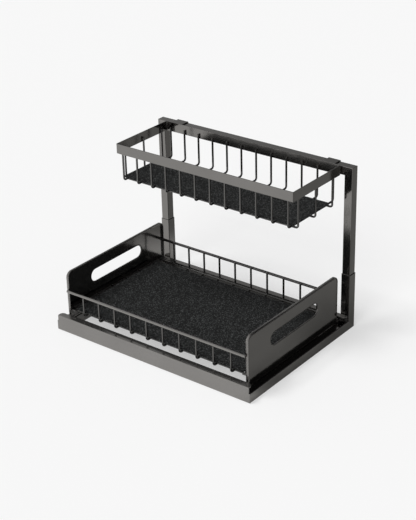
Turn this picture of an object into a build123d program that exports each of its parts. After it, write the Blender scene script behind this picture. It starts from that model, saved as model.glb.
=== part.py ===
from build123d import *
import os

# Two-tier under sink organizer in dark mirror-finished steel. A square-tube base carries a
# sliding tray between two channel rails, and two posts carry a wire basket on a crossbar.
# Millimetres, +Z up. X runs across the width, and the tray slides out toward +X. Y runs from
# the front rail to the posts. The origin is on the floor, under the middle of the object.

# Base frame: square side tubes whose rear ends are mitred to the upright sleeves
frame_width = 400.0
tube_size = 17.0
tube_wall = 0.9
tube_corner = 1.2
tube_bore_corner = 0.3
sleeve_top = 100.8
sleeve_gap = 1.0

# Front and rear rails: folded channels that open toward the tray
rail_span = 278.0
rail_height = 27.5
rail_sheet = 1.5
rail_ledge = 11.0
rail_floor = 14.0
rail_inset = 2.0
rail_bend = 1.4
ledge_corner = 6.0

# Upper frame: posts that stand inside the sleeves, and the crossbar mitred to them
upper_height = 290.0
post_clearance = 0.1
post_wall = 1.2
post_corner = 1.0
post_bore_corner = 0.4

# Tray end plates: pressed sheet with a return flange round the front, top and rear
tray_end_inset = 12.8
tray_gap = 3.95
plate_sheet = 1.5
plate_lift = 1.0
plate_top = 104.9
plate_corner = 11.0
plate_flange = 5.0
plate_bend = 1.2
slot_length = 130.0
slot_height = 22.5
slot_level = 71.5

# Tray floor: rods that lie on the wires and in notches of angles on the end plates
ledge_width = 12.0
ledge_drop = 8.0
ledge_sheet = 1.5
ledge_end_gap = 2.0
ledge_notch_clearance = 0.6
floor_rod_diameter = 3.0
floor_rod_count = 6
floor_rod_pitch = 36.0

# Tray fence: U-shaped wires welded to a top rod at the front and at the rear
tray_wire_diameter = 3.4
tray_wire_count = 10
tray_wire_end_gap = 33.15
tray_wire_level = 31.0
tray_wire_bend = 5.5
tray_wire_over_rod = 1.0
top_rod_diameter = 4.8
front_rod_lap = 1.5
rear_rod_gap = 0.2
top_rod_level = 71.3

# Tray mat
tray_mat_end_gap = 9.8
tray_mat_front_gap = 1.0
tray_mat_rear_gap = 16.3
tray_mat_thickness = 3.0
tray_mat_corner = 10.0

# Running gear: angle runners on rollers, all inside the channels
runner_sheet = 1.5
runner_level = 18.0
runner_height = 7.4
runner_reach = 11.4
runner_roller_gap = 3.0
base_roller_diameter = 15.6
base_roller_width = 8.0
base_roller_end_gap = 3.2
tray_roller_diameter = 23.8
tray_roller_width = 7.0
tray_roller_end_gap = 1.0
roller_clearance = 0.3
roller_bore_clearance = 0.05
roller_side_clearance = 0.5
roller_rim = 0.6
pin_diameter = 5.0
pin_head_diameter = 8.0
pin_head_thickness = 1.2
bracket_width = 20.0
bracket_foot = 8.0
slide_travel = 250.0
stop_sheet = 3.0
stop_height = 12.0
stop_clearance = 0.3

# Basket: sheet rim with U-shaped wires inside it
rim_end_inset = 21.8
rim_depth = 132.6
rim_rise = 0.2
rim_height = 16.6
rim_sheet = 1.6
rim_corner = 2.5
basket_wire_diameter = 3.4
basket_wire_count = 12
basket_wire_end_gap = 9.95
basket_depth = 63.4
basket_wire_bend = 4.5
basket_wire_lap = 8.0
cross_wire_count = 3
cross_wire_side_gap = 16.7
basket_mat_end_gap = 0.3
basket_mat_side_gap = 0.3
basket_mat_thickness = 2.5
basket_mat_corner = 6.0
mat_clearance = 0.1

# Hooks: straps bent over the crossbar
hook_width = 21.8
hook_end_gap = 12.0
hook_sheet = 1.6
hook_drop = 14.0
hook_clearance = 0.1
hook_bend = 1.4

# One overrun for every cut
overrun = 1.0

# Places that follow from the sizes
post_size = tube_size - 2 * tube_wall - 2 * post_clearance
post_margin = tube_wall + post_clearance
base_depth = rail_span + sleeve_gap + tube_size
hook_back = base_depth - post_margin + hook_clearance + hook_sheet
front_y = -max(hook_back, base_depth) / 2
sleeve_front_y = front_y + rail_span + sleeve_gap
post_front_y = sleeve_front_y + post_margin
post_back_y = post_front_y + post_size
rail_mid_y = front_y + rail_span / 2
half_frame = frame_width / 2
tube_inner_x = half_frame - tube_size
plate_front_y = front_y + rail_ledge + tray_gap
plate_rear_y = 2 * rail_mid_y - plate_front_y
plate_outer_x = half_frame - tray_end_inset
plate_inner_x = plate_outer_x - plate_sheet
plate_bottom = tube_size + plate_lift
front_rod_y = plate_front_y - top_rod_diameter / 2
front_wire_y = plate_front_y + tray_wire_diameter / 2
rear_rod_y = plate_rear_y - plate_sheet - rear_rod_gap - top_rod_diameter / 2
rear_wire_y = rear_rod_y - top_rod_diameter / 2 - tray_wire_diameter / 2
front_rod_half = plate_outer_x - plate_flange + front_rod_lap
tray_wire_pitch = 2 * (plate_inner_x - tray_wire_end_gap) / (tray_wire_count - 1)
tray_wire_top = tray_wire_level + tray_wire_diameter / 2
floor_rod_z = tray_wire_top + floor_rod_diameter / 2
floor_rod_top = tray_wire_top + floor_rod_diameter
tray_mat_front_y = front_wire_y + tray_wire_diameter / 2 + tray_mat_front_gap
tray_mat_rear_y = rear_wire_y - tray_wire_diameter / 2 - tray_mat_rear_gap
tray_mat_width = 2 * (plate_inner_x - tray_mat_end_gap)
hook_top = upper_height + hook_clearance + hook_sheet
rim_top = hook_top + rim_rise
rim_width = 2 * (half_frame - rim_end_inset)
rim_bore_width = rim_width - 2 * rim_sheet
rim_bore_depth = rim_depth - 2 * rim_sheet
rim_back_y = post_front_y - hook_clearance - hook_sheet
rim_front_y = rim_back_y - rim_depth
rim_mid_y = (rim_front_y + rim_back_y) / 2
rim_bottom = rim_top - rim_height
basket_wire_level = rim_top - basket_depth
basket_wire_pitch = (rim_bore_width - 2 * basket_wire_end_gap) / (basket_wire_count - 1)
cross_wire_pitch = (rim_bore_depth - 2 * cross_wire_side_gap) / (cross_wire_count - 1)
basket_mat_width = rim_bore_width - 2 * (basket_wire_diameter + basket_mat_end_gap)
basket_mat_inset = basket_wire_diameter / 2 + basket_wire_bend + basket_mat_side_gap
basket_mat_depth = rim_bore_depth - 2 * basket_mat_inset
hook_middle_x = rim_width / 2 - hook_end_gap - hook_width / 2
basket_wire_end = rim_bottom + basket_wire_lap
basket_wire_top = basket_wire_level + basket_wire_diameter / 2
cross_wire_z = basket_wire_level - basket_wire_diameter
base_roller_x = tube_inner_x - base_roller_end_gap - base_roller_diameter / 2
base_roller_z = runner_level - roller_clearance - base_roller_diameter / 2
tray_roller_x = -(tube_inner_x - tray_roller_end_gap - tray_roller_diameter / 2)
tray_roller_z = rail_height / 2


def block(x_ends, y_ends, z_ends):
    """A box between two values along each axis, in either order."""
    spans = [abs(b - a) for a, b in (x_ends, y_ends, z_ends)]
    middles = [(a + b) / 2 for a, b in (x_ends, y_ends, z_ends)]
    return Pos(*middles) * Box(*spans)


def tube_section(size, wall, corner, bore_corner):
    """The cross-section of a square tube."""
    bore = size - 2 * wall
    return RectangleRounded(size, size, corner) - RectangleRounded(bore, bore, bore_corner)


def bent_wire(points, bend, diameter):
    """A round wire bent once at each inner point."""
    path = FilletPolyline(*points, radius=bend)
    section = Plane(origin=path @ 0, z_dir=path % 0) * Circle(diameter / 2)
    return sweep(section, path=path)


def rod_along_x(half_length, y, z, diameter):
    """A straight round rod across the width."""
    return Pos(0, y, z) * Rot(0, 90, 0) * Cylinder(diameter / 2, 2 * half_length)


def spaced(count, pitch):
    """Places of evenly spaced copies, centred on zero."""
    return [(i - (count - 1) / 2) * pitch for i in range(count)]


def corner_mitre():
    """The plane where a side tube meets its sleeve."""
    return Plane(origin=(0, sleeve_front_y, tube_size), z_dir=(0, 1, 1))


def base_tube(side):
    """A side tube of the base, along Y, mitred at the rear."""
    section = tube_section(tube_size, tube_wall, tube_corner, tube_bore_corner)
    centre = (side * (half_frame - tube_size / 2), front_y + rail_sheet, tube_size / 2)
    run = Plane(origin=centre, z_dir=(0, 1, 0)) * section
    length = base_depth - rail_sheet
    return split(extrude(run, length), corner_mitre(), Keep.BOTTOM)


def sleeve(side):
    """The upright end of a side frame, into which a post drops."""
    section = tube_section(tube_size, tube_wall, tube_corner, tube_bore_corner)
    centre = Pos(side * (half_frame - tube_size / 2), sleeve_front_y + tube_size / 2, 0)
    return split(extrude(centre * section, sleeve_top), corner_mitre(), Keep.TOP)


def rail_y(end, inset):
    """The Y of a place that lies inset from the outer face of the front (-1) or rear (1) rail."""
    return rail_mid_y + end * (rail_span / 2 - inset)


def channel(end):
    """A folded channel rail with its two flanges turned toward the tray."""
    outline = [
        (0, 0), (rail_floor, 0), (rail_floor, rail_sheet), (rail_sheet, rail_sheet),
        (rail_sheet, rail_height - rail_sheet), (rail_ledge, rail_height - rail_sheet),
        (rail_ledge, rail_height), (0, rail_height),
    ]
    face = make_face(Polyline(*outline, close=True))
    web_corners = face.vertices().filter_by_position(Axis.X, -overrun / 2, overrun / 2)
    face = fillet(web_corners, rail_bend)
    side_plane = Plane(origin=(0, rail_y(end, 0), 0), x_dir=(0, -end, 0), z_dir=(-end, 0, 0))
    rail = extrude(side_plane * face, half_frame, both=True)
    for side in (-1, 1):
        tube_x = (side * tube_inner_x, side * (half_frame + overrun))
        end_x = (side * (half_frame - rail_inset), side * (half_frame + overrun))
        inner = rail_sheet if end < 0 else -overrun
        rail -= block(tube_x, (rail_y(end, inner), rail_y(end, rail_floor + overrun)),
                      (-overrun, tube_size))
        rail -= block(end_x, (rail_y(end, -overrun), rail_y(end, rail_floor + overrun)),
                      (tube_size, rail_height + overrun))
    tips = rail.edges().filter_by(Axis.Z).filter_by_position(
        Axis.Y, rail_y(end, rail_ledge) - overrun / 2, rail_y(end, rail_ledge) + overrun / 2)
    return fillet(tips.filter_by_position(Axis.Z, rail_height - 2 * rail_sheet, rail_height),
                  ledge_corner)


def post(side):
    """An upper post: a square tube from the floor of the side tube to the mitre at the top."""
    section = tube_section(post_size, post_wall, post_corner, post_bore_corner)
    x = side * (half_frame - tube_size / 2)
    foot = tube_wall + tube_bore_corner
    centre = Pos(x, post_front_y + post_size / 2, foot)
    inner_x = half_frame - post_margin - post_size
    mitre = Plane(origin=(side * inner_x, 0, upper_height - post_size), z_dir=(side, 0, -1))
    return split(extrude(centre * section, upper_height - foot), mitre, Keep.TOP)


def crossbar():
    """The square tube across the top, mitred to both posts."""
    section = tube_section(post_size, post_wall, post_corner, post_bore_corner)
    centre = (0, post_front_y + post_size / 2, upper_height - post_size / 2)
    bar = extrude(Plane(origin=centre, z_dir=(1, 0, 0)) * section, half_frame, both=True)
    inner_x = half_frame - post_margin - post_size
    for side in (-1, 1):
        mitre = Plane(origin=(side * inner_x, 0, upper_height - post_size),
                      z_dir=(side, 0, -1))
        bar = split(bar, mitre, Keep.BOTTOM)
    return bar


def plate_outline(inset, bottom):
    """The end plate's outline in Y and Z, inset from its edges and open to a lower bottom."""
    top = plate_top - inset
    depth = plate_rear_y - plate_front_y - 2 * inset
    face = Pos(0, (top + bottom) / 2) * Rectangle(depth, top - bottom)
    corners = face.vertices().sort_by(Axis.Y)[-2:]
    return fillet(corners, plate_corner - inset)


def tray_end(side):
    """An end plate of the tray: a shallow pressed pan with a handle slot."""
    def upright(x):
        return Plane(origin=(side * x, rail_mid_y, 0), x_dir=(0, side, 0), z_dir=(side, 0, 0))

    flange_x = plate_outer_x - plate_flange
    plate = extrude(upright(flange_x) * plate_outline(0, plate_bottom), plate_flange)
    face_edges = plate.faces().sort_by(Axis.X)[-1 if side > 0 else 0].edges()
    rim = face_edges.filter_by(lambda edge: edge.center().Z > plate_bottom + overrun)
    plate = fillet(rim, plate_bend)
    hollow = plate_outline(plate_sheet, plate_bottom - overrun)
    plate -= extrude(upright(flange_x - overrun) * hollow, plate_inner_x - flange_x + overrun)
    slot = Pos(0, slot_level) * SlotOverall(slot_length, slot_height)
    return plate - extrude(upright(plate_inner_x - overrun) * slot, plate_sheet + 2 * overrun)


def floor_rod_places():
    """The Y of each floor rod: one in each fence's bend and a row between them."""
    middles = [rail_mid_y + y for y in spaced(floor_rod_count, floor_rod_pitch)]
    ends = [front_wire_y + tray_wire_bend, rear_wire_y - tray_wire_bend]
    return sorted(middles + ends)


def tray_ledge(side):
    """The angle on the inside of an end plate, notched for the floor rods that it carries."""
    ends = (plate_front_y + ledge_end_gap, plate_rear_y - ledge_end_gap)
    inner_x = plate_inner_x - ledge_width
    ledge = block((side * inner_x, side * plate_inner_x), ends,
                  (floor_rod_top - ledge_sheet, floor_rod_top))
    ledge += block((side * (plate_inner_x - ledge_sheet), side * plate_inner_x), ends,
                   (floor_rod_top - ledge_drop, floor_rod_top))
    half_notch = floor_rod_diameter / 2 + ledge_notch_clearance
    for y in floor_rod_places():
        ledge -= block((side * (inner_x - overrun), side * (plate_inner_x + overrun)),
                       (y - half_notch, y + half_notch),
                       (tray_wire_top, floor_rod_top + overrun))
    return ledge


def tray_wire(x):
    """One wire of the tray: front fence, floor and rear fence in one bent piece."""
    top = top_rod_level + tray_wire_over_rod
    points = [(x, front_wire_y, top), (x, front_wire_y, tray_wire_level),
              (x, rear_wire_y, tray_wire_level), (x, rear_wire_y, top)]
    return bent_wire(points, tray_wire_bend, tray_wire_diameter)


def floor_rods():
    """The rods across the tray floor, from plate to plate."""
    return Compound([rod_along_x(plate_inner_x, y, floor_rod_z, floor_rod_diameter)
                     for y in floor_rod_places()])


def mat(width, depth, thickness, corner, y, z):
    """A loose liner with rounded corners."""
    return extrude(Pos(0, y, z) * RectangleRounded(width, depth, corner), thickness)


def runner(end):
    """The angle under the tray's front or rear edge that rolls inside a channel."""
    web_inset = rail_ledge + tray_gap
    web = block((-plate_outer_x, plate_outer_x),
                (rail_y(end, web_inset), rail_y(end, web_inset - runner_sheet)),
                (runner_level, runner_level + runner_height))
    foot_end = tray_roller_x + tray_roller_diameter / 2 + runner_roller_gap
    foot = block((foot_end, plate_outer_x),
                 (rail_y(end, web_inset), rail_y(end, web_inset - runner_reach)),
                 (runner_level, runner_level + runner_sheet))
    return web + foot


def turned_wheel(x, y, z, diameter, width):
    """A roller with a bore and chamfered rims, its axis along Y."""
    wheel = Cylinder(diameter / 2, width)
    wheel = chamfer(wheel.edges(), roller_rim)
    wheel -= Cylinder(pin_diameter / 2 + roller_bore_clearance, width + 2 * overrun)
    return Pos(x, y, z) * Rot(90, 0, 0) * wheel


def turned_pin(x, z, y_seat, y_head, toward):
    """A stud from its seat to a round head, along Y in the given direction."""
    shank = abs(y_head - y_seat)
    stud = extrude(Circle(pin_diameter / 2), shank)
    stud += extrude(Pos(0, 0, shank) * Circle(pin_head_diameter / 2), pin_head_thickness)
    return Plane(origin=(x, y_seat, z), z_dir=(0, toward, 0)) * stud


def base_roller_inset():
    """The inset of a base roller's outer face from the rail's outer face."""
    return rail_sheet + roller_side_clearance


def tray_roller_inset():
    """The inset of a tray roller's inner face from the rail's outer face."""
    return rail_ledge + tray_gap - 2 * runner_sheet - roller_side_clearance


def base_roller(end):
    """A roller on the rail near the open end, under the runner."""
    y = rail_y(end, base_roller_inset() + base_roller_width / 2)
    return turned_wheel(base_roller_x, y, base_roller_z, base_roller_diameter,
                        base_roller_width)


def base_roller_pin(end):
    """The stud that carries a base roller on the rail's web."""
    head = base_roller_inset() + base_roller_width + roller_side_clearance
    return turned_pin(base_roller_x, base_roller_z, rail_y(end, rail_sheet),
                      rail_y(end, head), -end)


def tray_roller(end):
    """A roller at the tray's trailing end, between the channel's floor and ledge."""
    y = rail_y(end, tray_roller_inset() - tray_roller_width / 2)
    return turned_wheel(tray_roller_x, y, tray_roller_z, tray_roller_diameter,
                        tray_roller_width)


def tray_roller_pin(end):
    """The stud that carries a tray roller on its bracket."""
    seat = tray_roller_inset() + roller_side_clearance
    head = tray_roller_inset() - tray_roller_width - roller_side_clearance
    return turned_pin(tray_roller_x, tray_roller_z, rail_y(end, seat), rail_y(end, head), end)


def roller_bracket(end):
    """The tab under the runner that carries a tray roller's stud."""
    seat = rail_ledge + tray_gap - runner_sheet
    y_ends = (rail_y(end, seat), rail_y(end, seat - runner_sheet))
    half = bracket_width / 2
    tab = block((tray_roller_x - half, tray_roller_x + half), y_ends,
                (tray_roller_z - bracket_foot, runner_level + runner_height))
    lower = tab.edges().filter_by(Axis.Y).group_by(Axis.Z)[0]
    return fillet(lower, bracket_foot / 2)


def travel_stop(end):
    """The tab on the channel's floor that the tray roller meets at full travel."""
    x = tray_roller_x + slide_travel + tray_roller_diameter / 2 + stop_clearance
    inner = tray_roller_inset() - roller_side_clearance
    return block((x, x + stop_sheet), (rail_y(end, rail_sheet), rail_y(end, inner)),
                 (rail_sheet, rail_sheet + stop_height))


def basket_rim():
    """The sheet band round the top of the basket."""
    bore = RectangleRounded(rim_bore_width, rim_bore_depth, rim_corner - rim_sheet)
    band = RectangleRounded(rim_width, rim_depth, rim_corner) - bore
    return extrude(Pos(0, rim_mid_y, rim_bottom) * band, rim_height)


def basket_wire(x):
    """One front-to-rear wire of the basket."""
    leg = (rim_bore_depth - basket_wire_diameter) / 2
    points = [(x, rim_mid_y - leg, basket_wire_end), (x, rim_mid_y - leg, basket_wire_level),
              (x, rim_mid_y + leg, basket_wire_level), (x, rim_mid_y + leg, basket_wire_end)]
    return bent_wire(points, basket_wire_bend, basket_wire_diameter)


def cross_wire(offset):
    """One left-to-right wire of the basket, under the front-to-rear wires."""
    leg = (rim_bore_width - basket_wire_diameter) / 2
    y = rim_mid_y + offset
    points = [(-leg, y, basket_wire_end), (-leg, y, cross_wire_z),
              (leg, y, cross_wire_z), (leg, y, basket_wire_end)]
    return bent_wire(points, basket_wire_bend, basket_wire_diameter)


def hook(side):
    """A strap welded to the back of the rim and bent over the crossbar."""
    x = side * hook_middle_x
    x_ends = (x - hook_width / 2, x + hook_width / 2)
    y_ends = (rim_back_y, post_back_y + hook_clearance + hook_sheet)
    strap = block(x_ends, y_ends, (rim_bottom, hook_top))
    outer = strap.edges().filter_by(Axis.X).group_by(Axis.Z)[-1]
    strap = fillet(outer, hook_bend)
    strap -= block((x_ends[0] - overrun, x_ends[1] + overrun),
                   (y_ends[0] + hook_sheet, y_ends[1] - hook_sheet),
                   (rim_bottom - overrun, upper_height + hook_clearance))
    return strap - block((x_ends[0] - overrun, x_ends[1] + overrun),
                         (post_back_y, y_ends[1] + overrun),
                         (rim_bottom - overrun, upper_height - hook_drop))


parts = {
    "front_rail": channel(-1),
    "rear_rail": channel(1),
    "left_base_tube": base_tube(-1),
    "right_base_tube": base_tube(1),
    "left_sleeve": sleeve(-1),
    "right_sleeve": sleeve(1),
    "base_roller_front": base_roller(-1),
    "base_roller_rear": base_roller(1),
    "base_roller_pins": Compound([base_roller_pin(-1), base_roller_pin(1)]),
    "travel_stop_front": travel_stop(-1),
    "travel_stop_rear": travel_stop(1),
    "left_upper_post": post(-1),
    "right_upper_post": post(1),
    "crossbar": crossbar(),
    "tray_end_left": tray_end(-1),
    "tray_end_right": tray_end(1),
    "tray_ledge_left": tray_ledge(-1),
    "tray_ledge_right": tray_ledge(1),
    "tray_front_rod": rod_along_x(front_rod_half, front_rod_y, top_rod_level,
                                  top_rod_diameter),
    "tray_rear_rod": rod_along_x(plate_inner_x, rear_rod_y, top_rod_level, top_rod_diameter),
    "tray_floor_rods": floor_rods(),
    "tray_mat": mat(tray_mat_width, tray_mat_rear_y - tray_mat_front_y, tray_mat_thickness,
                    tray_mat_corner, (tray_mat_front_y + tray_mat_rear_y) / 2,
                    floor_rod_top + mat_clearance),
    "runner_front": runner(-1),
    "runner_rear": runner(1),
    "tray_roller_bracket_front": roller_bracket(-1),
    "tray_roller_bracket_rear": roller_bracket(1),
    "tray_roller_front": tray_roller(-1),
    "tray_roller_rear": tray_roller(1),
    "tray_roller_pins": Compound([tray_roller_pin(-1), tray_roller_pin(1)]),
    "basket_rim": basket_rim(),
    "basket_hook_left": hook(-1),
    "basket_hook_right": hook(1),
    "basket_mat": mat(basket_mat_width, basket_mat_depth, basket_mat_thickness,
                      basket_mat_corner, rim_mid_y, basket_wire_top + mat_clearance),
}
for number, place in enumerate(spaced(tray_wire_count, tray_wire_pitch), 1):
    parts[f"tray_wire_{number:02d}"] = tray_wire(place)
for number, place in enumerate(spaced(basket_wire_count, basket_wire_pitch), 1):
    parts[f"basket_wire_{number:02d}"] = basket_wire(place)
for number, place in enumerate(spaced(cross_wire_count, cross_wire_pitch), 1):
    parts[f"basket_cross_wire_{number}"] = cross_wire(place)

os.makedirs("parts", exist_ok=True)
for name, shape in parts.items():
    export_step(shape, f"parts/{name}.step")
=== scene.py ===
import math

import bpy
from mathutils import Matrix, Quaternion, Vector, noise


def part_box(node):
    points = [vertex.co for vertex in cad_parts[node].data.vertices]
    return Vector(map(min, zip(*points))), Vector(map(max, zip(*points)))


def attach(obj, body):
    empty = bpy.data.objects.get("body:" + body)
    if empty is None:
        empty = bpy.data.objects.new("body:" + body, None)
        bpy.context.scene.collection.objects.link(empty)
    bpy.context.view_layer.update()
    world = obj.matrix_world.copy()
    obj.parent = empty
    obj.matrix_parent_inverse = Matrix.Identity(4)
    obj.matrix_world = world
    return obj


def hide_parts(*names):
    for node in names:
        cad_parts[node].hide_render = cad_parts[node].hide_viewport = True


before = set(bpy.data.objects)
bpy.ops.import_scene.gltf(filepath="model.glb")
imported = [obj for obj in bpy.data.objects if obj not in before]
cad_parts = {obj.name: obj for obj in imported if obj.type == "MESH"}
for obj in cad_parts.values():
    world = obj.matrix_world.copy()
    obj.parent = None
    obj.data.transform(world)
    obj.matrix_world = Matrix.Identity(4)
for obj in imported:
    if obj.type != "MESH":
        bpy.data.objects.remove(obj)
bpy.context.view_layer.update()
bpy.ops.object.select_all(action="DESELECT")

# Studio: a plain white floor and surround, under a broad high lamp from the front left and a
# low one from the front. The eye sees them plain white. Mirrors see a painted shade on them,
# white at the front left falling to grey behind, which paints light and dark on the metal's
# faces.
MM = 0.001


def linear(hex_colour):
    """An sRGB hex colour as linear red, green, blue and full alpha."""
    values = [int(hex_colour[i:i + 2], 16) / 255 for i in (1, 3, 5)]
    toned = [v / 12.92 if v <= 0.04045 else ((v + 0.055) / 1.055) ** 2.4 for v in values]
    return (*toned, 1.0)


def add_node(tree, kind, sockets=None, **settings):
    """Adds a node. A socket is set to a value, or linked when it is given (node, output)."""
    node = tree.nodes.new(kind)
    for name, value in settings.items():
        setattr(node, name, value)
    for name, value in (sockets or {}).items():
        if isinstance(value, tuple) and isinstance(value[0], bpy.types.Node):
            tree.links.new(value[0].outputs[value[1]], node.inputs[name])
        else:
            node.inputs[name].default_value = value
    return node


def new_material(name):
    """An empty material with its node tree."""
    material = bpy.data.materials.new(name)
    material.use_nodes = True
    material.node_tree.nodes.clear()
    return material, material.node_tree


def surround(tree, place, fade, plain, front, behind):
    """The surround's colour, plain to the eye and in mirrors a painted shade fading from the
    behind colour to the front colour at the front left, and a factor that is 1 where the
    surround is seen and 0 where it only lights."""
    front_left = (-0.77, -0.64, 0.0)
    toward_front = add_node(tree, "ShaderNodeVectorMath", {
        0: place, 1: front_left}, operation="DOT_PRODUCT")
    # Painted shade: mirror rays see the surround fade from the behind colour to the front
    # colour, darker behind than the eye sees it.
    painted_shade_ramp = add_node(tree, "ShaderNodeMapRange", {
        "Value": (toward_front, "Value"), "From Min": fade[0], "From Max": fade[1]},
        interpolation_type="SMOOTHSTEP")
    light_path = add_node(tree, "ShaderNodeLightPath")
    painted_mirror_shade = add_node(tree, "ShaderNodeMix", {
        "Factor": (painted_shade_ramp, "Result"), 6: linear(behind), 7: linear(front)}, data_type="RGBA")
    shade = add_node(tree, "ShaderNodeMix", {
        "Factor": (light_path, "Is Glossy Ray"), 6: linear(plain), 7: (painted_mirror_shade, 2)},
        data_type="RGBA")
    seen = add_node(tree, "ShaderNodeMath", {
        0: (light_path, "Is Camera Ray"), 1: (light_path, "Is Glossy Ray")},
        operation="MAXIMUM")
    seen = add_node(tree, "ShaderNodeMath", {
        0: (seen, "Value"), 1: (light_path, "Is Transmission Ray")}, operation="MAXIMUM")
    return (shade, 2), (seen, "Value")


floor_reach = 24.0
floor_mirror_shade_fade = (-0.13, -0.02)
shadow_lift = 0.48
mirrored_lift = 0.1
bpy.ops.mesh.primitive_plane_add(size=2 * floor_reach)
floor = bpy.context.object
floor.name = "studio_floor"
material, tree = new_material("matt_white_paper")
place = add_node(tree, "ShaderNodeTexCoord")
# 9C9C9A is painted shade: mirrors see the white floor this grey behind, while the eye sees it
#                          plain white.
shade, seen = surround(tree, (place, "Object"), floor_mirror_shade_fade, "#F9F9F9", "#FFFFFE", "#9C9C9A")
paper = add_node(tree, "ShaderNodeBsdfDiffuse", {"Color": shade, "Roughness": 0.0})
lit_white = add_node(tree, "ShaderNodeEmission", {"Color": shade, "Strength": 1.0})
light_path = add_node(tree, "ShaderNodeLightPath")
strength = add_node(tree, "ShaderNodeMapRange", {
    "Value": (light_path, "Is Glossy Ray"), "To Min": shadow_lift, "To Max": mirrored_lift})
lift = add_node(tree, "ShaderNodeMath", {
    0: seen, 1: (strength, "Result")}, operation="MULTIPLY")
lifted = add_node(tree, "ShaderNodeMixShader", {
    "Fac": (lift, "Value"), 1: (paper, "BSDF"), 2: (lit_white, "Emission")})
add_node(tree, "ShaderNodeOutputMaterial", {"Surface": (lifted, "Shader")})
floor.data.materials.append(material)

surround_mirror_shade_fade = (-0.7, 1.0)
surround_strength = 0.28
world = bpy.data.worlds.new("white_surround")
bpy.context.scene.world = world
world.use_nodes = True
tree = world.node_tree
tree.nodes.clear()
direction = add_node(tree, "ShaderNodeTexCoord")
# 303030 is painted shade: mirrors see the surround this dark behind, while the eye sees it
#                          plain white.
shade, seen = surround(tree, (direction, "Generated"), surround_mirror_shade_fade, "#F7F7F7", "#F4F4F3",
                       "#303030")
strength = add_node(tree, "ShaderNodeMapRange", {
    "Value": seen, "To Min": surround_strength, "To Max": 1.0})
sky = add_node(tree, "ShaderNodeBackground", {
    "Color": shade, "Strength": (strength, "Result")})
add_node(tree, "ShaderNodeOutputWorld", {"Surface": (sky, "Background")})


def toward(azimuth, elevation):
    """The direction to a place at this azimuth, from the front to the right, and elevation."""
    azimuth, elevation = math.radians(azimuth), math.radians(elevation)
    return Vector((math.sin(azimuth) * math.cos(elevation),
                   -math.cos(azimuth) * math.cos(elevation), math.sin(elevation)))


def add_lamp(name, azimuth, elevation, energy, width):
    """A far lamp, placed and as wide as given in degrees, that doesn't show in mirrors."""
    light = bpy.data.lights.new(name, "SUN")
    light.energy = energy
    light.angle = math.radians(width)
    lamp = bpy.data.objects.new(name, light)
    bpy.context.collection.objects.link(lamp)
    lamp.visible_glossy = False
    lamp.rotation_mode = "QUATERNION"
    lamp.rotation_quaternion = toward(azimuth, elevation).to_track_quat("Z", "Y")


add_lamp("key_lamp", azimuth=-50.0, elevation=66.0, energy=1.58, width=20.0)
add_lamp("fill_lamp", azimuth=14.0, elevation=38.0, energy=1.3, width=30.0)

toward_camera = toward(azimuth=38.463, elevation=26.402)
camera_roll = math.radians(-1.518)
camera_distance = 2100.0 * MM
camera_target = Vector((37.5, -36.5, 152.1)) * MM
lens = bpy.data.cameras.new("camera")
lens.sensor_width = 36.0
lens.lens = 91.12
camera = bpy.data.objects.new("camera", lens)
bpy.context.collection.objects.link(camera)
camera.location = camera_target + camera_distance * toward_camera
camera.rotation_mode = "QUATERNION"
camera.rotation_quaternion = (toward_camera.to_track_quat("Z", "Y")
                              @ Quaternion((0, 0, 1), camera_roll))
bpy.context.scene.camera = camera
bpy.context.scene.view_settings.view_transform = "Standard"

# Base frame and upper frame: welded square steel tube, roll-formed, ground at the mitres,
# polished and plated in black nickel. It mirrors softly, with fine marks along the tube.


def polished_steel(name, tones, roughness, grain, ripple, edge=0.5, metallic=1.0):
    """Black nickel over polished steel, between two tones. In mm, grain is the size of its
    marks along X, Y and Z, ripple the depth of the waves that rolling leaves, and edge the
    radius that tumbling and plating give to sharp edges."""
    haze_size = 45 * MM
    wave_size = 30 * MM
    mark_depth = 0.02 * MM
    made, tree = new_material(name)
    place = add_node(tree, "ShaderNodeTexCoord")
    stretched = add_node(tree, "ShaderNodeMapping", {
        "Vector": (place, "Object"), "Scale": [1 / (size * MM) for size in grain]})
    marks = add_node(tree, "ShaderNodeTexNoise", {
        "Vector": (stretched, "Vector"), "Scale": 1.0, "Detail": 3.0, "Roughness": 0.6})
    haze = add_node(tree, "ShaderNodeTexNoise", {
        "Vector": (place, "Object"), "Scale": 1 / haze_size, "Detail": 2.0})
    mixed = add_node(tree, "ShaderNodeMath", {
        0: (marks, "Fac"), 1: (haze, "Fac")}, operation="ADD")
    dulled = add_node(tree, "ShaderNodeMapRange", {
        "Value": (mixed, "Value"), "From Min": 0.6, "From Max": 1.4,
        "To Min": roughness * 0.7, "To Max": roughness * 1.35})
    tone = add_node(tree, "ShaderNodeMix", {
        "Factor": (haze, "Fac"), 6: linear(tones[0]), 7: linear(tones[1])},
        data_type="RGBA")
    rolled = add_node(tree, "ShaderNodeTexNoise", {
        "Vector": (place, "Object"), "Scale": 1 / wave_size, "Detail": 1.0})
    softened = add_node(tree, "ShaderNodeBevel", {"Radius": edge * MM}, samples=6)
    wavy = add_node(tree, "ShaderNodeBump", {
        "Height": (rolled, "Fac"), "Strength": 1.0, "Distance": ripple * MM,
        "Normal": (softened, "Normal")})
    fine = add_node(tree, "ShaderNodeBump", {
        "Height": (marks, "Fac"), "Strength": 0.12, "Distance": mark_depth,
        "Normal": (wavy, "Normal")})
    steel = add_node(tree, "ShaderNodeBsdfPrincipled", {
        "Base Color": (tone, 2), "Metallic": metallic, "Roughness": (dulled, "Result"),
        "Normal": (fine, "Normal")})
    add_node(tree, "ShaderNodeOutputMaterial", {"Surface": (steel, "BSDF")})
    return made


def finish(names, material):
    """Gives CAD nodes their finish."""
    for name in names:
        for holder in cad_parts[name].material_slots:
            holder.material = material


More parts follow.
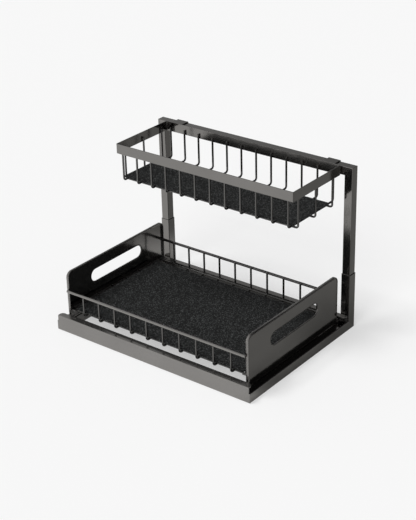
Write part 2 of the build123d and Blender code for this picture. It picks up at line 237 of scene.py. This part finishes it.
tube_along_x = polished_steel("plated_tube_along_x", ("#817F7D", "#8A8886"), 0.13,
                              grain=(60, 0.9, 0.9), ripple=0.10)
tube_along_y = polished_steel("plated_tube_along_y", ("#817F7D", "#8A8886"), 0.13,
                              grain=(0.9, 60, 0.9), ripple=0.10)
tube_upright = polished_steel("plated_tube_upright", ("#777573", "#807E7C"), 0.13,
                              grain=(0.9, 0.9, 60), ripple=0.10)
finish(["crossbar"], tube_along_x)
finish(["left_base_tube", "right_base_tube"], tube_along_y)
finish(["left_sleeve", "right_sleeve", "left_upper_post", "right_upper_post"], tube_upright)

# Rails, stops and runners: folded sheet steel, polished before folding, with the same
# plating. The front rail's web is the bright fascia across the front. Handling leaves a
# slight haze on them, so their top faces never mirror quite black.
sheet_along_x = polished_steel("plated_sheet_along_x", ("#807E7C", "#898785"), 0.15,
                               grain=(80, 0.8, 0.8), ripple=0.16, metallic=0.88)
finish(["front_rail", "rear_rail", "runner_front", "runner_rear", "travel_stop_front",
        "travel_stop_rear", "tray_roller_bracket_front", "tray_roller_bracket_rear"],
       sheet_along_x)

# Tray ends and their ledges: pressed sheet steel with a wide rolled return edge, polished and
# plated. The ends are the widest mirrors on the object, with a slight ripple from the press,
# and the ledges, small angles spot-welded inside them, are left satin.
sheet_along_y = polished_steel("plated_sheet_along_y", ("#7D7B79", "#868482"), 0.14,
                               grain=(0.8, 80, 0.8), ripple=0.20, edge=4.0)
finish(["tray_end_left", "tray_end_right"], sheet_along_y)
ledge_satin = polished_steel("plated_satin_ledge", ("#8A8886", "#929090"), 0.5,
                             grain=(0.8, 80, 0.8), ripple=0.20)
finish(["tray_ledge_left", "tray_ledge_right"], ledge_satin)

# Tray fence and floor: cold-drawn steel wire, bent into U shapes and resistance welded to
# the rods, then plated with the rest, so that the weld beads have the same finish. The
# front rod is thicker and polished brighter.
drawn_wire = polished_steel("plated_drawn_wire", ("#5B5A59", "#646362"), 0.12,
                            grain=(1.2, 1.2, 1.2), ripple=0.05)
finish([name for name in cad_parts
        if name.startswith(("tray_wire", "basket_wire", "basket_cross_wire"))]
       + ["tray_rear_rod", "tray_floor_rods"], drawn_wire)
drawn_rod = polished_steel("plated_drawn_rod", ("#817F7D", "#8A8886"), 0.16,
                           grain=(60, 0.9, 0.9), ripple=0.05)
finish(["tray_front_rod"], drawn_rod)

# Weld beads of the tray: a resistance welder squeezes a little metal out of every joint of
# the wirework, and the plating leaves it as a small shiny nugget. The sizes are half sizes
# in mm along X, Y and Z.


def middle_of(name):
    """The middle of a CAD node's box."""
    low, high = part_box(name)
    return (low + high) / 2


def weld_beads(name, body, spots):
    """One piece of nuggets, from (middle in m, half sizes in mm): one is modelled, with a
    squeezed waist, and the rest are copied from it."""
    waist = 0.05
    waist_swell = 1.12
    waist_bevel = 0.16
    bpy.ops.object.select_all(action="DESELECT")
    bpy.ops.mesh.primitive_uv_sphere_add(segments=10, ring_count=6, radius=1.0)
    bead = bpy.context.object
    for edge in bead.data.edges:
        edge.select = all(abs(bead.data.vertices[i].co.z) < waist for i in edge.vertices)
    for vertex in bead.data.vertices:
        vertex.select = abs(vertex.co.z) < waist
    for face in bead.data.polygons:
        face.select = False
    bpy.ops.object.mode_set(mode="EDIT")
    bpy.ops.mesh.select_mode(type="EDGE")
    bpy.ops.transform.resize(value=(waist_swell, waist_swell, 1.0))
    bpy.ops.mesh.bevel(offset=waist_bevel, segments=1, affect="EDGES")
    bpy.ops.object.mode_set(mode="OBJECT")
    bead.select_set(False)
    copies = []
    for middle, half_sizes in spots:
        nugget = bead.copy()
        nugget.data = bead.data.copy()
        nugget.location = middle
        nugget.scale = [half * MM for half in half_sizes]
        bpy.context.collection.objects.link(nugget)
        nugget.select_set(True)
        copies.append(nugget)
    bpy.data.objects.remove(bead)
    bpy.context.view_layer.objects.active = copies[0]
    bpy.ops.object.join()
    piece = bpy.context.object
    piece.name = name
    bpy.ops.object.transform_apply(location=True, rotation=True, scale=True)
    bpy.ops.object.shade_smooth()
    piece.data.materials.append(drawn_wire)
    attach(piece, body)


floor_rod_pitch = 36.0 * MM
pitched_rods = 6
wire_bend = 5.5 * MM
flange_inset = 0.9 * MM
wire_crossing = (1.7, 1.7, 0.9)
wire_on_top_rod = (2.2, 0.9, 2.0)
floor_rod_on_plate = (0.8, 2.3, 2.3)
rear_rod_on_plate = (0.9, 3.1, 3.1)
front_rod_on_flange = (0.9, 0.6, 1.6)
rod_low, rod_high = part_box("tray_floor_rods")
rod_level = (rod_low.z + rod_high.z) / 2
front_rod_low, front_rod_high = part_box("tray_front_rod")
front_rod = middle_of("tray_front_rod")
rear_rod = middle_of("tray_rear_rod")
wire_low, wire_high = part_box("tray_wire_01")
wire_radius = middle_of("tray_wire_01").x - wire_low.x
tray_middle_y = middle_of("tray_end_left").y
rod_places = [tray_middle_y + (i - (pitched_rods - 1) / 2) * floor_rod_pitch
              for i in range(pitched_rods)]
rod_places += [wire_low.y + wire_radius + wire_bend, wire_high.y - wire_radius - wire_bend]
tray_wires = [f"tray_wire_{number:02d}" for number in range(1, 11)]
spots = []
for wire in tray_wires:
    x = middle_of(wire).x
    spots += [(Vector((x, wire_low.y, front_rod.z)), wire_on_top_rod),
              (Vector((x, wire_high.y, rear_rod.z)), wire_on_top_rod)]
    spots += [(Vector((x, y, rod_low.z)), wire_crossing) for y in rod_places]
for plate_x in (rod_low.x, rod_high.x):
    spots += [(Vector((plate_x, y, rod_level)), floor_rod_on_plate) for y in rod_places]
    spots.append((Vector((plate_x, rear_rod.y, rear_rod.z)), rear_rod_on_plate))
for end_x in (front_rod_low.x, front_rod_high.x):
    flange_x = end_x - math.copysign(flange_inset, end_x)
    spots.append((Vector((flange_x, wire_low.y, front_rod.z)), front_rod_on_flange))
weld_beads("tray_welds", "tray", spots)

# Basket rim and hooks: a polished sheet band joined at the rear, with two straps welded
# behind it that bend over the crossbar. Plated as one piece with its wires.
band_along_x = polished_steel("plated_band_along_x", ("#787674", "#817F7D"), 0.14,
                              grain=(80, 0.8, 0.8), ripple=0.12)
finish(["basket_rim", "basket_hook_left", "basket_hook_right"], band_along_x)

# Weld beads of the basket: each wire end laps 8 mm up the inside of the band, and the long
# wires cross under the short ones. The straps are welded to the band along both edges.
lap_weld = 4.0 * MM
strap_weld_out = 0.7 * MM
strap_weld_rises = (4.0 * MM, 11.0 * MM)
wire_on_band = (2.2, 0.9, 2.8)
cross_wire_on_band = (0.9, 2.2, 2.8)
strap_edge = (0.9, 0.7, 2.2)
band_low, band_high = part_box("basket_rim")
wire_low, wire_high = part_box("basket_wire_01")
basket_wires = [f"basket_wire_{number:02d}" for number in range(1, 13)]
cross_wires = [f"basket_cross_wire_{number}" for number in range(1, 4)]
spots = []
for wire in basket_wires:
    x = middle_of(wire).x
    spots += [(Vector((x, y, band_low.z + lap_weld)), wire_on_band)
              for y in (wire_low.y, wire_high.y)]
    spots += [(Vector((x, middle_of(cross_wire).y, wire_low.z)), wire_crossing)
              for cross_wire in cross_wires]
for cross_wire in cross_wires:
    y = middle_of(cross_wire).y
    spots += [(Vector((end.x, y, band_low.z + lap_weld)), cross_wire_on_band)
              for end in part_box(cross_wire)]
for strap in ("basket_hook_left", "basket_hook_right"):
    spots += [(Vector((edge.x, band_high.y + strap_weld_out, band_low.z + rise)), strap_edge)
              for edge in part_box(strap) for rise in strap_weld_rises]
weld_beads("basket_welds", "basket", spots)

# Rollers and their studs: black acetal wheels turned on bright zinc-plated steel studs,
# hidden inside the channels. The plastic is waxy and half matt, the zinc pale and satin.
turning_marks = 0.8 * MM
zinc_crystals = 0.7 * MM
roller_plastic, tree = new_material("moulded_black_acetal")
place = add_node(tree, "ShaderNodeTexCoord")
turned = add_node(tree, "ShaderNodeTexNoise", {
    "Vector": (place, "Object"), "Scale": 1 / turning_marks, "Detail": 2.0})
grip = add_node(tree, "ShaderNodeMapRange", {
    "Value": (turned, "Fac"), "To Min": 0.38, "To Max": 0.52})
plastic = add_node(tree, "ShaderNodeBsdfPrincipled", {
    "Base Color": linear("#1B1B1C"), "Roughness": (grip, "Result"), "IOR": 1.48})
add_node(tree, "ShaderNodeOutputMaterial", {"Surface": (plastic, "BSDF")})
finish(["base_roller_front", "base_roller_rear", "tray_roller_front", "tray_roller_rear"],
       roller_plastic)

stud_zinc, tree = new_material("zinc_plated_stud")
place = add_node(tree, "ShaderNodeTexCoord")
crystals = add_node(tree, "ShaderNodeTexVoronoi", {
    "Vector": (place, "Object"), "Scale": 1 / zinc_crystals})
dulled = add_node(tree, "ShaderNodeMapRange", {
    "Value": (crystals, "Distance"), "To Min": 0.28, "To Max": 0.42})
zinc = add_node(tree, "ShaderNodeBsdfPrincipled", {
    "Base Color": linear("#B9BCC0"), "Metallic": 1.0, "Roughness": (dulled, "Result")})
add_node(tree, "ShaderNodeOutputMaterial", {"Surface": (zinc, "BSDF")})
finish(["base_roller_pins", "tray_roller_pins"], stud_zinc)

# Mats: loose liners die-cut from needled black felt, pressed flat, with softened cut edges.
# Paler fibres among the charcoal ones give the fine speckle. Real fibres are far too thin to
# show, so the clumps and flecks are drawn about 2 mm wide.


def needled_felt(name):
    """Matt charcoal felt with short fibres, some of them pale."""
    clump_size = 2.6 * MM
    fleck_size = 1.7 * MM
    made, tree = new_material(name)
    place = add_node(tree, "ShaderNodeTexCoord")
    clumps = add_node(tree, "ShaderNodeTexNoise", {
        "Vector": (place, "Object"), "Scale": 1 / clump_size, "Detail": 4.0,
        "Roughness": 0.7})
    fibres = add_node(tree, "ShaderNodeTexVoronoi", {
        "Vector": (place, "Object"), "Scale": 1 / fleck_size}, feature="F1")
    speck = add_node(tree, "ShaderNodeMapRange", {
        "Value": (fibres, "Distance"), "From Min": 0.15, "From Max": 0.7,
        "To Min": 1.0, "To Max": 0.0}, interpolation_type="SMOOTHSTEP")
    chance = add_node(tree, "ShaderNodeSeparateColor", {"Color": (fibres, "Color")})
    pale_ones = add_node(tree, "ShaderNodeMapRange", {
        "Value": (chance, 0), "From Min": 0.35, "From Max": 1.0})
    flecks = add_node(tree, "ShaderNodeMath", {
        0: (speck, "Result"), 1: (pale_ones, "Result")}, operation="MULTIPLY")
    ground = add_node(tree, "ShaderNodeMix", {
        "Factor": (clumps, "Fac"), 6: linear("#070707"), 7: linear("#1A1B1B")},
        data_type="RGBA")
    colour = add_node(tree, "ShaderNodeMix", {
        "Factor": (flecks, "Value"), 6: (ground, 2), 7: linear("#5E6060")},
        data_type="RGBA")
    pile = add_node(tree, "ShaderNodeBump", {
        "Height": (clumps, "Fac"), "Strength": 0.7, "Distance": 0.5 * MM})
    nap = add_node(tree, "ShaderNodeBump", {
        "Height": (speck, "Result"), "Strength": 0.4, "Distance": 0.3 * MM,
        "Normal": (pile, "Normal")})
    felt = add_node(tree, "ShaderNodeBsdfPrincipled", {
        "Base Color": (colour, 2), "Roughness": 0.92, "Sheen Weight": 0.03,
        "Sheen Roughness": 0.5, "Specular IOR Level": 0.25, "Normal": (nap, "Normal")})
    add_node(tree, "ShaderNodeOutputMaterial", {"Surface": (felt, "BSDF")})
    return made


felt_finish = needled_felt("needled_charcoal_felt")


def cut_mat(name, node, corner, rods_along, rod_pitch, short=0.0):
    """A felt liner in the place of its CAD solid, eased down a little between the rods that
    it lies on. It may be cut short at the rear."""
    cell = 2.5 * MM
    dip = 0.10 * MM
    unevenness = 0.12 * MM
    uneven_wave = 28 * MM
    kept_off_rods = 0.35 * MM
    cut_edge_radius = 0.7 * MM
    low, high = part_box(node)
    high.y -= short
    middle, size = (low + high) / 2, high - low
    bpy.ops.object.select_all(action="DESELECT")
    bpy.ops.mesh.primitive_grid_add(x_subdivisions=round(size.x / cell),
                                    y_subdivisions=round(size.y / cell), size=1.0)
    piece = bpy.context.object
    piece.name = name
    for vertex in piece.data.vertices:
        x, y = vertex.co.x * size.x, vertex.co.y * size.y
        past_x = (abs(x) - (size.x / 2 - corner)) / corner
        past_y = (abs(y) - (size.y / 2 - corner)) / corner
        if past_x > 0 and past_y > 0:
            pull = max(past_x, past_y) / math.hypot(past_x, past_y)
            x = math.copysign(size.x / 2 - corner + past_x * pull * corner, x)
            y = math.copysign(size.y / 2 - corner + past_y * pull * corner, y)
        from_middle = x if rods_along == "y" else y
        sag = dip * (0.5 + 0.5 * math.cos(math.tau * from_middle / rod_pitch))
        rise = unevenness * noise.noise(Vector((x, y, 0)) / uneven_wave)
        vertex.co = (middle.x + x, middle.y + y, high.z - sag + rise - unevenness)
    thickness = piece.modifiers.new("felt_thickness", "SOLIDIFY")
    thickness.thickness = size.z - kept_off_rods
    thickness.offset = -1.0
    softened = piece.modifiers.new("cut_edge", "BEVEL")
    softened.width = cut_edge_radius
    softened.segments = 3
    softened.limit_method = "ANGLE"
    softened.angle_limit = math.radians(50)
    bpy.context.view_layer.objects.active = piece
    for modifier in (thickness, softened):
        bpy.ops.object.modifier_apply(modifier=modifier.name)
    bpy.ops.object.shade_smooth_by_angle(angle=math.radians(40))
    piece.data.materials.append(felt_finish)
    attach(piece, node)
    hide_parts(node)


cut_mat("tray_felt_mat", "tray_mat", corner=10.0 * MM, rods_along="x",
        rod_pitch=floor_rod_pitch)
basket_wire_pitch = 30.3 * MM
cut_mat("basket_felt_mat", "basket_mat", corner=6.0 * MM, rods_along="y",
        rod_pitch=basket_wire_pitch, short=12.4 * MM)
